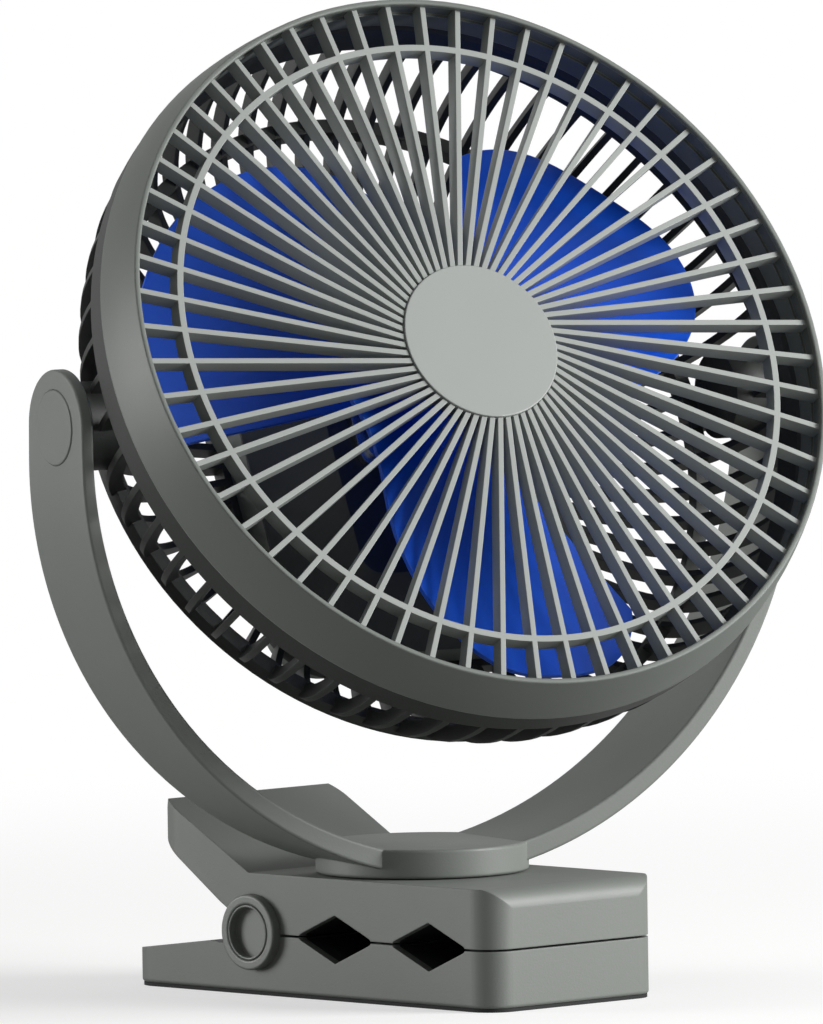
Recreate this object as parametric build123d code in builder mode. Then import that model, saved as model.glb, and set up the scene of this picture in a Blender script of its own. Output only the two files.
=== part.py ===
from build123d import *
import os
from math import acos, asin, atan2, cos, degrees, radians, sin, sqrt, tan

# A clip fan: a round fan head, tilting in a U-shaped yoke, that swivels on top of a sprung clip.
# Millimetres. Z is up, the clip's mouth and the air flow face -Y, and X runs along the jaw's width.
# The origin is on the swivel axis, at the height of the surface that the clip stands on.

os.makedirs("parts", exist_ok=True)

# Clearances
running_gap = 0.06              # a shaft in its bore, measured on the radius
slide_gap = 0.3                 # a moving piece beside a fixed one
seat_gap = 0.1                  # a piece that is dropped into its seat

# Pose that the fan is stored in
swivel_angle = -15.6            # the yoke's turn on the clip, seen from above
tilt_angle = 28.5               # the head's upward tilt

# Clip, seen from the side: y runs from the mouth to the back of the levers
clip_width = 63.5
clip_wall = 2.6
foot_pad_thickness = 0.9
lower_jaw_height = 15.45
jaw_gap = 0.6
upper_jaw_height = 16.15
upper_roof = 4.0
mouth_reach = 59.2              # swivel axis to the mouth's end
hinge_back = 33.1               # swivel axis to the hinge pin
hinge_rise = 0.75               # the pin's centre above the lower jaw
mouth_corner = 8.0              # corner radii in the plan view
lower_lever_corner = 9.0
upper_lever_corner = 11.0
mouth_brow = 5.2                # rounding on the top of the mouth
clip_edge = 1.0

# Lower lever: distances back from the hinge pin, and heights above the foot pad
lower_lever_reach = 49.8
lower_lever_end = 9.0
crest_back = 17.2
crest_height = 13.0
dip_back = 12.4
dip_height = 12.5
lever_hollow = 4.4

# Upper lever: it rises from a knee in the jaw's top
knee_back = 1.9                 # hinge pin to the knee
upper_lever_reach = 32.9        # knee to the lever's top corner
upper_lever_rise = 18.4
upper_lever_tip_back = 5.3      # the end face leans back by this much
upper_lever_tip_drop = 8.5
upper_lever_root_back = 13.4    # hinge pin to where the lever's underside starts
upper_lever_root_rise = 7.7
lever_pocket_depth = 7.5
lever_pocket_length = 17.0
lever_web_half = 5.2            # half the middle web that the spring's leg bears on

# The two notches for round bars, each half in either jaw
notch_length = 31.0
notch_height = 13.2
notch_near = 1.5                # the notches' middles, along y
notch_far = -34.9
notch_tip = 1.0

# Hinge of the clip
hinge_pin_radius = 4.0
hinge_ear_radius = 10.0
hinge_ear_width = 8.0
hinge_head_radius = 7.5
hinge_head_sink = 1.0           # the pin's head is let into the ear by this much
hinge_dish_radius = 6.8
hinge_dish_depth = 2.6
hinge_head_edge = 0.3
hinge_collar_radius = 10.25
hinge_collar_height = 2.7
hinge_collar_edge = 0.6
spring_wire_radius = 0.8
spring_coil_radius = 6.8
spring_room = 11.0              # half the width kept free for the spring
spring_bite = 4.5               # how far along the lever's underside the upper leg ends
spring_pitch = 2.2
spring_turns = 4
spring_samples = 300

# Jaw inserts, bite pads and base plate
upper_insert_height = 7.5
lower_pocket_depth = 8.0
lower_floor = 6.0               # depth of the hollow under the lower jaw
pad_margin = 1.1                # from a notch's tip to the pad at the mouth
mouth_pad_length = 4.0
land_pad_length = 3.0
pad_width = 50.0
pad_thickness = 1.2
base_plate_thickness = 1.6
plate_rib_pitch = 16.0
plate_rib_width = 1.6
plate_rib_count = 3
foot_pad_inset = 0.4

# Turntable and yoke: either side of the yoke is an arc whose centre lies past the swivel axis
turntable_radius = 28.9
turntable_height = 7.9
turntable_edge = 0.8
arm_gap = 1.3                   # from the head's band to the inside of an arm
arm_thickness = 3.6
arch_point = 6.8                # how far past the swivel axis the arc's centre lies
yoke_sink = 3.2                 # the inner arch's lowest point below the turntable's top
yoke_floor = 5.6                # thickness of the yoke at its lowest point
arm_arc_drop = 7.3              # tilt axis down to the centre of the inner arcs
arm_end_radius = 15.6
yoke_foot_width = 37.3
yoke_edge = 0.7
spigot_radius = 9.0
retainer_radius = 13.5
retainer_thickness = 1.2
wave_washer_thickness = 0.8
swivel_screw_radius = 2.0
swivel_screw_length = 9.0
swivel_head_radius = 4.5
swivel_head_height = 1.9

# Tilt pivots at the ends of the yoke
pivot_pin_radius = 3.0
pivot_pin_depth = 7.0           # how far the pin reaches into the head
pivot_head_radius = 6.4
pivot_head_height = 0.9
pivot_recess_depth = 2.0
pivot_recess_radius = 10.3
pivot_cap_proud = 0.4
pivot_boss_radius = 12.0
pivot_boss_length = 11.6
pivot_bush_radius = 11.0
pivot_bush_thickness = 1.7
pivot_bush_gap = 0.15
pivot_cap_edge = 0.4

# Fan head, measured forward from the tilt axis along the air flow, and outward from the fan's axis
spoke_front = 42.5
spoke_depth = 4.8
spoke_width = 1.5
spoke_count = 60
spoke_swirl = 5.7               # each spoke passes the fan's axis at this distance
spoke_phase = 3.3
grille_ring_step = 13.9         # the middle ring's radius below the rim's
grille_ring_width = 1.8
hub_radius = 22.7
hub_cap_thickness = 1.2
hub_cap_proud = 0.6
hub_cap_edge = 0.3
hub_stem_radius = 3.0
hub_stem_length = 3.0
rim_radius = 102.0
rim_lead = 1.6                  # the rim stands this far ahead of the spokes
rim_face = 1.5
rim_edge = 0.5
rim_groove = 0.9                # depth of the groove that the spokes' ends sit in
band_step = 3.0                 # the band's radius above the rim's
band_wall = 2.4
band_bulge = 0.35
seam_front = 27.7
seam_gap = 0.4

# Rear shell: a ring, a ribbed bowl and a frame round the battery box; its steps go in from the band
rear_ring_length = 7.8
rear_ring_step = 0.8
rear_ring_wall = 5.2
rear_ring_flare = 0.4
lip_length = 3.5
lip_wall = 1.4
bowl_pivot_step = 5.7
bowl_shoulder_step = 15.5
bowl_shoulder_back = 15.5
bowl_shoulder_slope = 45.0
bowl_dome_step = 35.0
bowl_dome_back = 25.5
bowl_end_radius = 24.0
bowl_end_back = 30.0
rib_depth = 4.6
rib_width = 1.9
rib_count = 60
rib_phase = 3.0
shoulder_ring_out = 0.7         # the shoulder ring's middle outside the bowl's shoulder
shoulder_ring_width = 4.0
shoulder_ring_start = 1.0       # how far ahead of the shoulder the ring starts
shoulder_ring_length = 5.0
frame_wall = 2.2

# Battery box in the middle of the rear shell
box_width = 94.0
box_height = 101.0
box_drop = 14.5                 # its centre below the fan's axis
box_corner = 14.0
box_front_width = 60.0
box_front_height = 69.0
box_front_corner = 6.0
box_front = 3.0
box_split_back = 14.0
box_back = 31.0
box_wall = 2.2
box_edge = 2.5
cell_radius = 9.1
cell_length = 65.0
cell_pitch = 19.0
cell_count = 4
cell_back = 19.4
cell_drop = 17.8
cell_edge = 0.8
board_width = 62.0
board_height = 15.0
board_thickness = 1.6
board_rise = 24.5               # the control row above the fan's axis
board_back = 24.2
board_post_radius = 2.2
board_post_side = 11.0
button_radius = 5.0
button_flange = 1.0
button_flange_thickness = 1.0
button_proud = 1.2
button_travel = 0.6
button_edge = 0.4
switch_radius = 2.5
light_radius = 1.1
light_pitch = 5.0
light_count = 4
light_side = -22.0
socket_width = 8.9
socket_height = 3.2
socket_side = 22.0
socket_wall = 0.4
socket_tongue = 0.8
socket_tongue_width = 6.6
cover_screw_radius = 1.5
cover_screw_length = 19.0
cover_screw_head_radius = 2.7
cover_screw_head_height = 1.6
cover_screw_inset = 10.5
cover_post_radius = 3.6
housing_post_length = 5.0
screw_slot_width = 0.7
screw_slot_depth = 0.6

# Motor and fan wheel
motor_plate_width = 46.0
motor_plate_height = 36.0
motor_plate_thickness = 2.0
motor_plate_corner = 4.0
motor_screw_radius = 1.4
motor_screw_length = 3.6
motor_screw_head_radius = 2.6
motor_screw_head_height = 1.4
motor_screw_inset = 4.5
motor_radius = 17.0
motor_length = 18.0
motor_edge = 1.0
motor_collar_radius = 4.5
motor_collar_height = 0.8
shaft_radius = 1.55
shaft_depth = 13.0
bush_radius = 4.0
bush_gap = 0.5
wheel_hub_radius = 20.6
wheel_hub_wall = 2.0
wheel_hub_back = 9.5
wheel_hub_front = 33.5
wheel_hub_edge = 3.0

# Fan blade: a shallow dished sheet, pitched about its own middle line; its outline is given along
# that line and across it
blade_count = 3
blade_phase = 33.0              # direction of the stored blade's middle line
blade_thickness = 1.6           # measured along the air flow
blade_middle = 15.4             # forward distance of the middle line
blade_pitch = 20.6
blade_dish = 3.9                # forward bend at the sheet's edges
blade_sheet_half = 45.0
blade_root_along = 17.0
blade_root_lead = -19.5         # leading side of the root, inside the hub
blade_root_trail = 12.0
blade_heel_along = 9.0
blade_heel_across = -38.5
blade_waist_along = 26.0
blade_waist_across = -34.8
blade_edge_along = 43.5
blade_edge_across = -37.6
blade_toe_along = 70.0
blade_toe_across = -31.2
blade_bend_along = 85.3
blade_bend_across = -11.2
blade_tip_along = 86.6
blade_tip_across = 11.5
blade_corner_along = 81.2
blade_corner_across = 33.6
blade_tail_along = 66.4
blade_tail_across = 44.0
blade_hollow_along = 43.0
blade_hollow_across = 28.5

# Heights that follow from the stack
lower_jaw_top = foot_pad_thickness + lower_jaw_height
upper_jaw_bottom = lower_jaw_top + jaw_gap
upper_jaw_top = upper_jaw_bottom + upper_jaw_height
bite_height = lower_jaw_top + jaw_gap / 2
hinge_height = lower_jaw_top + hinge_rise
turntable_bottom = upper_jaw_top + slide_gap
turntable_top = turntable_bottom + turntable_height
inner_half = clip_width / 2 - clip_wall
ear_inside = clip_width / 2 - hinge_ear_width

# Radii that follow from the rim, working outwards to the yoke
band_radius = rim_radius + band_step
rear_ring_radius = band_radius - rear_ring_step
bowl_pivot_radius = band_radius - bowl_pivot_step
bowl_shoulder_radius = band_radius - bowl_shoulder_step
bowl_dome_radius = band_radius - bowl_dome_step
shoulder_ring_radius = bowl_shoulder_radius + shoulder_ring_out
arm_inner_half = band_radius + arm_gap
arm_outer_half = arm_inner_half + arm_thickness
pivot_boss_outside = arm_inner_half - pivot_bush_thickness
inner_arc_radius = arm_inner_half + arch_point
outer_arc_radius = arm_outer_half + arch_point
arch_bottom = turntable_top - yoke_sink
arc_height = arch_bottom + sqrt(inner_arc_radius**2 - arch_point**2)
outer_arc_height = arch_bottom - yoke_floor + sqrt(outer_arc_radius**2 - arch_point**2)
pivot_height = arc_height + arm_arc_drop

# Frames: the yoke turns about Z, and the head tilts about the yoke's x direction
yoke_frame = Plane.XY.rotated((0, 0, swivel_angle))
yoke_face = Plane(origin=(0, 0, 0), x_dir=yoke_frame.x_dir, z_dir=-yoke_frame.y_dir)
yoke_side = Plane(origin=(0, 0, 0), x_dir=yoke_frame.y_dir, z_dir=yoke_frame.x_dir)
air_flow = Vector(0, 0, 1) * sin(radians(tilt_angle)) - yoke_frame.y_dir * cos(radians(tilt_angle))
head = Plane(origin=(0, 0, pivot_height), x_dir=yoke_frame.x_dir, z_dir=air_flow)
head_section = Plane(origin=head.origin, x_dir=head.x_dir, z_dir=-head.y_dir)
head_side = Plane(origin=head.origin, x_dir=head.y_dir, z_dir=head.x_dir)
fan_axis = Axis(head.origin, head.z_dir)
head_x = Axis(head.origin, head.x_dir)
box_plane = Plane(origin=head.origin - head.y_dir * box_drop, x_dir=head.x_dir, z_dir=head.z_dir)
board_plane = Plane(origin=head.origin + head.y_dir * board_rise, x_dir=head.x_dir, z_dir=head.z_dir)
cell_origin = head.origin - head.y_dir * cell_drop - head.z_dir * cell_back
cell_end = Plane(origin=cell_origin - head.y_dir * cell_length / 2, x_dir=head.x_dir, z_dir=head.y_dir)
screw_pitch_x = box_width - 2 * cover_screw_inset
screw_pitch_y = box_height - 2 * cover_screw_inset
motor_screw_pitch_x = motor_plate_width - 2 * motor_screw_inset
motor_screw_pitch_y = motor_plate_height - 2 * motor_screw_inset
blade_line = head.x_dir * cos(radians(blade_phase)) + head.y_dir * sin(radians(blade_phase))
blade_across = head.z_dir.cross(blade_line)
blade_plan = Plane(origin=head.origin, x_dir=blade_line, z_dir=head.z_dir)
blade_section = Plane(origin=head.origin, x_dir=blade_across, z_dir=blade_line)

# Points and faces of the levers, in the clip's side view
hinge_centre = (hinge_back, hinge_height)
hinge_point = Vector(0, hinge_back, hinge_height)
lower_lever_back = hinge_back + lower_lever_reach
crest_point = Vector(0, hinge_back + crest_back, foot_pad_thickness + crest_height)
knee_point = Vector(0, hinge_back + knee_back, upper_jaw_top)
lever_corner_point = knee_point + Vector(0, upper_lever_reach, upper_lever_rise)
lever_tip_point = lever_corner_point + Vector(0, upper_lever_tip_back, -upper_lever_tip_drop)
lever_root_point = hinge_point + Vector(0, upper_lever_root_back, upper_lever_root_rise)
lever_under_run = lever_tip_point - lever_root_point
lever_under = Plane(
    origin=lever_root_point + lever_under_run / 2,
    x_dir=(-1, 0, 0),
    z_dir=Vector(-1, 0, 0).cross(lever_under_run),
)


def save(piece, name):
    """Label a finished piece and write it as its own file."""
    piece.part.label = name
    export_step(piece.part, f"parts/{name}.step")


# ---------------------------------------------------------------- clip: lower jaw and base

# The two diamond notches that hold a round bar, cut half into each jaw
with BuildPart() as bar_notches:
    for centre in (notch_near, notch_far):
        with BuildSketch(Plane.YZ):
            with BuildLine():
                Polyline(
                    (centre - notch_length / 2, bite_height),
                    (centre, bite_height + notch_height / 2),
                    (centre + notch_length / 2, bite_height),
                    (centre, bite_height - notch_height / 2),
                    close=True,
                )
            make_face()
            fillet(vertices(), notch_tip)
        extrude(amount=clip_width, both=True)

# Lower jaw with its lever: an ear for the hinge at each side, a pocket above and hollows underneath
hollow_front = -mouth_reach + clip_wall
hollow_back = hinge_back - hinge_ear_radius - clip_wall
hollow_middle = (hollow_front + hollow_back) / 2
hollow_length = hollow_back - hollow_front
with BuildPart() as lower_jaw:
    with BuildSketch(Plane.YZ):
        with BuildLine():
            Polyline(
                (-mouth_reach, foot_pad_thickness),
                (-mouth_reach, lower_jaw_top),
                (hinge_back, lower_jaw_top),
                (hinge_back + dip_back, foot_pad_thickness + dip_height),
                (crest_point.Y, crest_point.Z),
                (lower_lever_back, foot_pad_thickness + lower_lever_end),
                (lower_lever_back, foot_pad_thickness),
                close=True,
            )
        make_face()
    extrude(amount=clip_width / 2, both=True)
    fillet(lower_jaw.edges().filter_by(Axis.Z).sort_by(Axis.Y)[:2], mouth_corner)
    fillet(lower_jaw.edges().filter_by(Axis.Z).sort_by(Axis.Y)[-2:], lower_lever_corner)
    fillet(lower_jaw.faces().filter_by(Axis.Z).sort_by(Axis.Z)[0].edges(), clip_edge)
    with BuildSketch(Plane.YZ):
        with Locations(hinge_centre):
            Circle(hinge_ear_radius)
    extrude(amount=clip_width / 2, both=True)
    with BuildSketch(Plane.YZ):
        with Locations(hinge_centre):
            Circle(hinge_ear_radius + slide_gap)
    extrude(amount=ear_inside, both=True, mode=Mode.SUBTRACT)
    with BuildSketch(Plane.YZ):
        with Locations(hinge_centre):
            Circle(hinge_pin_radius + running_gap)
    extrude(amount=clip_width, both=True, mode=Mode.SUBTRACT)
    for side in (-1, 1):
        with BuildSketch(Plane.YZ.offset(side * clip_width / 2)):
            with Locations(hinge_centre):
                Circle(hinge_head_radius + seat_gap)
        extrude(amount=-side * (hinge_head_sink + seat_gap), mode=Mode.SUBTRACT)
    with BuildSketch(Plane.XY.offset(foot_pad_thickness)):
        with Locations((0, hollow_middle)):
            Rectangle(2 * inner_half, hollow_length)
        fillet(vertices().group_by(Axis.Y)[0], mouth_corner - clip_wall)
    extrude(amount=lower_floor, mode=Mode.SUBTRACT)
    with BuildSketch(Plane.XY.offset(lower_jaw_top)):
        with Locations((0, hollow_middle)):
            Rectangle(2 * inner_half, hollow_length)
        fillet(vertices().group_by(Axis.Y)[0], mouth_corner - clip_wall)
    extrude(amount=-lower_pocket_depth, mode=Mode.SUBTRACT)
    add(bar_notches.part, mode=Mode.SUBTRACT)
    with BuildSketch(Plane.XY.offset(foot_pad_thickness)):
        with Locations((0, (hinge_back + hinge_ear_radius + lower_lever_back - clip_wall) / 2)):
            Rectangle(2 * inner_half, lower_lever_reach - hinge_ear_radius - clip_wall)
        fillet(vertices().group_by(Axis.Y)[-1], lower_lever_corner - clip_wall)
    extrude(amount=lever_hollow, mode=Mode.SUBTRACT)
save(lower_jaw, "lower_jaw")

# Dark block in the lower jaw's pocket, with the lower half of the notches and seats for the pads
mouth_pad_centre = notch_far - notch_length / 2 - pad_margin - mouth_pad_length / 2
land_pad_centre = (notch_near + notch_far) / 2
with BuildPart() as lower_jaw_insert:
    with BuildSketch(Plane.XY.offset(lower_jaw_top - lower_pocket_depth + seat_gap)):
        with Locations((0, hollow_middle)):
            Rectangle(2 * (inner_half - seat_gap), hollow_length - 2 * seat_gap)
        fillet(vertices().group_by(Axis.Y)[0], mouth_corner - clip_wall)
    extrude(amount=lower_pocket_depth - seat_gap)
    with BuildSketch(Plane.XY.offset(lower_jaw_top)):
        with Locations((0, mouth_pad_centre)):
            Rectangle(pad_width + 2 * seat_gap, mouth_pad_length + 2 * seat_gap)
        with Locations((0, land_pad_centre)):
            Rectangle(pad_width + 2 * seat_gap, land_pad_length + 2 * seat_gap)
    extrude(amount=-pad_thickness, mode=Mode.SUBTRACT)
    add(bar_notches.part, mode=Mode.SUBTRACT)
save(lower_jaw_insert, "lower_jaw_insert")

# Rubber strips let into the lower biting face
with BuildPart() as lower_jaw_pads:
    with BuildSketch(Plane.XY.offset(lower_jaw_top - pad_thickness)):
        with Locations((0, mouth_pad_centre)):
            Rectangle(pad_width, mouth_pad_length)
        with Locations((0, land_pad_centre)):
            Rectangle(pad_width, land_pad_length)
    extrude(amount=pad_thickness)
save(lower_jaw_pads, "lower_jaw_pads")

# Plate that closes the hollow from below, flush with the jaw's underside
with BuildPart() as base_plate:
    with BuildSketch(Plane.XY.offset(foot_pad_thickness)):
        with Locations((0, hollow_middle)):
            Rectangle(2 * (inner_half - seat_gap), hollow_length - 2 * seat_gap)
        fillet(vertices().group_by(Axis.Y)[0], mouth_corner - clip_wall)
    extrude(amount=base_plate_thickness)
    with BuildSketch(Plane.XY.offset(foot_pad_thickness + base_plate_thickness)):
        with GridLocations(plate_rib_pitch, 0, plate_rib_count, 1):
            with Locations((0, hollow_middle)):
                Rectangle(plate_rib_width, hollow_length - 2 * clip_wall)
    extrude(amount=lower_floor - base_plate_thickness - seat_gap)
save(base_plate, "base_plate")

# Thin rubber sheet under the whole lower jaw, that the fan stands on
with BuildPart() as foot_pad:
    with BuildSketch(Plane.XY):
        with Locations((0, (lower_lever_back - mouth_reach) / 2)):
            Rectangle(
                clip_width - 2 * foot_pad_inset,
                lower_lever_back + mouth_reach - 2 * foot_pad_inset,
            )
        fillet(vertices().group_by(Axis.Y)[0], mouth_corner - foot_pad_inset)
        fillet(vertices().group_by(Axis.Y)[-1], lower_lever_corner - foot_pad_inset)
    extrude(amount=foot_pad_thickness)
save(foot_pad, "foot_pad")

# Hinge pin with a dished head at each end, let into the ears and flush with the collars
with BuildPart() as hinge_pin:
    with BuildSketch(Plane.YZ):
        with Locations(hinge_centre):
            Circle(hinge_pin_radius)
    extrude(amount=clip_width / 2, both=True)
    for side in (-1, 1):
        with BuildSketch(Plane.YZ.offset(side * (clip_width / 2 - hinge_head_sink))):
            with Locations(hinge_centre):
                Circle(hinge_head_radius)
        extrude(amount=side * (hinge_head_sink + hinge_collar_height))
        with BuildSketch(Plane.YZ.offset(side * (clip_width / 2 + hinge_collar_height))):
            with Locations(hinge_centre):
                Circle(hinge_dish_radius)
        extrude(amount=-side * hinge_dish_depth, mode=Mode.SUBTRACT)
    end_rims = hinge_pin.edges().filter_by(GeomType.CIRCLE).group_by(Axis.X)
    fillet(end_rims[0] + end_rims[-1], hinge_head_edge)
save(hinge_pin, "hinge_pin")

# Round collars on the jaw's sides, one about each end of the hinge pin
with BuildPart() as hinge_collars:
    for side in (-1, 1):
        with BuildSketch(Plane.YZ.offset(side * clip_width / 2)):
            with Locations(hinge_centre):
                Circle(hinge_collar_radius)
                Circle(hinge_head_radius + seat_gap, mode=Mode.SUBTRACT)
        extrude(amount=side * hinge_collar_height)
    outer_rims = hinge_collars.edges().filter_by(GeomType.CIRCLE).sort_by(Axis.X)
    fillet(outer_rims[:2] + outer_rims[-2:], hinge_collar_edge)
save(hinge_collars, "hinge_collars")


def leg_turn(end):
    """Angles of the line from the hinge to a leg's end, and of the leg against that line."""
    run = end - hinge_point
    return degrees(atan2(run.Z, run.Y)), degrees(asin(spring_coil_radius / run.length))


def leg_length(end):
    """Length of the straight leg that leaves the coil at a tangent and stops at its end."""
    return sqrt((end - hinge_point).length**2 - spring_coil_radius**2)


# Torsion spring round the pin: one leg bears on the upper lever's web, the other on the lower crest
upper_leg_end = lever_root_point + lever_under_run.normalized() * spring_bite
upper_leg_end += lever_under.z_dir * (spring_wire_radius + seat_gap)
lower_leg_end = crest_point + Vector(0, 0, spring_wire_radius + seat_gap)
upper_leg_turn = sum(leg_turn(upper_leg_end))
lower_leg_turn = leg_turn(lower_leg_end)[0] - leg_turn(lower_leg_end)[1]
spring_sweep = 360 * spring_turns - 180 + upper_leg_turn - lower_leg_turn
spring_height = spring_pitch * spring_sweep / 360
spring_start = radians(lower_leg_turn + 90)
spring_frame = Plane(
    origin=(-spring_height / 2, hinge_back, hinge_height),
    x_dir=(0, cos(spring_start), sin(spring_start)),
    z_dir=(1, 0, 0),
)
coil = spring_frame * Helix(spring_pitch, spring_height, spring_coil_radius)
lower_leg = Line(coil @ 0 - (coil % 0) * leg_length(lower_leg_end), coil @ 0)
upper_leg = Line(coil @ 1, coil @ 1 + (coil % 1) * leg_length(upper_leg_end))
spring_path = Wire([lower_leg.edge(), coil.edge(), upper_leg.edge()])
with BuildPart() as torsion_spring:
    with BuildSketch(Plane(origin=spring_path @ 0, z_dir=spring_path % 0)):
        Circle(spring_wire_radius)
    sweep(path=spring_path)
save(torsion_spring, "torsion_spring")

# The spring's least gap to itself, between points of its path that are over half a turn apart
path_step = spring_path.length / spring_samples
spring_points = [
    spring_path.position_at(path_step * step, PositionMode.LENGTH) for step in range(spring_samples + 1)
]
half_turn_steps = round(radians(180) * spring_coil_radius / path_step)
spring_gap = min(
    (point - other).length - 2 * spring_wire_radius
    for index, point in enumerate(spring_points)
    for other in spring_points[index + half_turn_steps:]
)
print("spring: least gap to itself", round(spring_gap, 2))

# ---------------------------------------------------------------- clip: upper jaw

# Upper jaw with the raised lever, two knuckles round the hinge pin and a hollow for the swivel
with BuildPart() as upper_jaw:
    with BuildSketch(Plane.YZ):
        with BuildLine():
            Polyline(
                (-mouth_reach, upper_jaw_bottom),
                (-mouth_reach, upper_jaw_top),
                (knee_point.Y, knee_point.Z),
                (lever_corner_point.Y, lever_corner_point.Z),
                (lever_tip_point.Y, lever_tip_point.Z),
                (lever_root_point.Y, lever_root_point.Z),
                (hinge_back, upper_jaw_bottom),
                close=True,
            )
        make_face()
        fillet(vertices().group_by(Axis.X)[0].sort_by(Axis.Y)[-1], mouth_brow)
    extrude(amount=clip_width / 2, both=True)
    with BuildSketch(Plane.XY):
        with Locations((0, (lever_tip_point.Y - mouth_reach) / 2)):
            Rectangle(clip_width, lever_tip_point.Y + mouth_reach)
        fillet(vertices().group_by(Axis.Y)[0], mouth_corner)
        fillet(vertices().group_by(Axis.Y)[-1], upper_lever_corner)
    extrude(amount=lever_corner_point.Z, mode=Mode.INTERSECT)
    with BuildSketch(Plane.YZ):
        with Locations(hinge_centre):
            Circle(hinge_ear_radius + slide_gap)
    extrude(amount=clip_width, both=True, mode=Mode.SUBTRACT)
    with BuildSketch(Plane.YZ):
        with Locations(hinge_centre):
            Circle(hinge_ear_radius)
        with BuildLine():
            Polyline(
                hinge_centre,
                (hinge_back - hinge_ear_radius - slide_gap, upper_jaw_top - clip_wall),
                (hinge_back + hinge_ear_radius + slide_gap, upper_jaw_top - clip_wall),
                close=True,
            )
        make_face()
    extrude(amount=ear_inside - slide_gap, both=True)
    with BuildSketch(Plane.YZ):
        with Locations(hinge_centre):
            Circle(hinge_ear_radius + slide_gap)
    extrude(amount=spring_room, both=True, mode=Mode.SUBTRACT)
    with BuildSketch(Plane.YZ):
        with Locations(hinge_centre):
            Circle(hinge_pin_radius + running_gap)
    extrude(amount=clip_width, both=True, mode=Mode.SUBTRACT)
    with BuildSketch(Plane.XY.offset(upper_jaw_bottom)):
        with Locations((0, hollow_middle)):
            Rectangle(2 * inner_half, hollow_length)
        fillet(vertices().group_by(Axis.Y)[0], mouth_corner - clip_wall)
    extrude(amount=upper_jaw_height - upper_roof, mode=Mode.SUBTRACT)
    add(bar_notches.part, mode=Mode.SUBTRACT)
    with BuildSketch(lever_under):
        with GridLocations(inner_half + lever_web_half, 0, 2, 1):
            Rectangle(inner_half - lever_web_half, lever_pocket_length)
    extrude(amount=-lever_pocket_depth, mode=Mode.SUBTRACT)
    with BuildSketch(Plane.XY.offset(upper_jaw_top)):
        Circle(spigot_radius + running_gap)
    extrude(amount=-upper_roof, mode=Mode.SUBTRACT)
save(upper_jaw, "upper_jaw")

# Dark block that fills the upper jaw's hollow and carries the upper half of the notches
roof_bottom = upper_jaw_top - upper_roof
insert_top = upper_jaw_bottom + upper_insert_height
with BuildPart() as upper_jaw_insert:
    with BuildSketch(Plane.XY.offset(upper_jaw_bottom)):
        with Locations((0, hollow_middle)):
            Rectangle(2 * (inner_half - seat_gap), hollow_length - 2 * seat_gap)
        fillet(vertices().group_by(Axis.Y)[0], mouth_corner - clip_wall)
    extrude(amount=upper_insert_height)
    with BuildSketch(Plane.XY.offset(upper_jaw_bottom)):
        with Locations((0, mouth_pad_centre)):
            Rectangle(pad_width + 2 * seat_gap, mouth_pad_length + 2 * seat_gap)
        with Locations((0, land_pad_centre)):
            Rectangle(pad_width + 2 * seat_gap, land_pad_length + 2 * seat_gap)
    extrude(amount=pad_thickness, mode=Mode.SUBTRACT)
    add(bar_notches.part, mode=Mode.SUBTRACT)
    with BuildSketch(Plane.XY.offset(insert_top)):
        with Locations((0, hollow_front + 2 * clip_wall), (0, hollow_back - 2 * clip_wall)):
            Rectangle(pad_width, clip_wall)
    extrude(amount=roof_bottom - insert_top - seat_gap)
save(upper_jaw_insert, "upper_jaw_insert")

# Rubber strips let into the upper jaw's biting face
with BuildPart() as upper_jaw_pads:
    with BuildSketch(Plane.XY.offset(upper_jaw_bottom)):
        with Locations((0, mouth_pad_centre)):
            Rectangle(pad_width, mouth_pad_length)
        with Locations((0, land_pad_centre)):
            Rectangle(pad_width, land_pad_length)
    extrude(amount=pad_thickness)
save(upper_jaw_pads, "upper_jaw_pads")

# Sprung washer that presses the turntable down on the jaw
with BuildPart() as swivel_spring_washer:
    with BuildSketch(Plane.XY.offset(roof_bottom)):
        Circle(retainer_radius)
        Circle(spigot_radius + slide_gap, mode=Mode.SUBTRACT)
    extrude(amount=-wave_washer_thickness)
save(swivel_spring_washer, "swivel_spring_washer")

# Plain washer and screw that hold the yoke's spigot, and turn with it
spigot_bottom = roof_bottom - wave_washer_thickness - seat_gap
retainer_bottom = spigot_bottom - retainer_thickness
with BuildPart() as swivel_washer:
    with BuildSketch(Plane.XY.offset(retainer_bottom)):
        Circle(retainer_radius)
        Circle(swivel_screw_radius + running_gap, mode=Mode.SUBTRACT)
    extrude(amount=retainer_thickness)
save(swivel_washer, "swivel_washer")

with BuildPart() as swivel_screw:
    with BuildSketch(Plane.XY.offset(retainer_bottom)):
        Circle(swivel_screw_radius)
    extrude(amount=swivel_screw_length)
    with BuildSketch(Plane.XY.offset(retainer_bottom)):
        Circle(swivel_head_radius)
    extrude(amount=-swivel_head_height)
    with BuildSketch(Plane.XY.offset(retainer_bottom - swivel_head_height)):
        Rectangle(swivel_head_radius, screw_slot_width)
        Rectangle(screw_slot_width, swivel_head_radius)
    extrude(amount=screw_slot_depth, mode=Mode.SUBTRACT)
save(swivel_screw, "swivel_screw")

# ---------------------------------------------------------------- yoke

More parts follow.
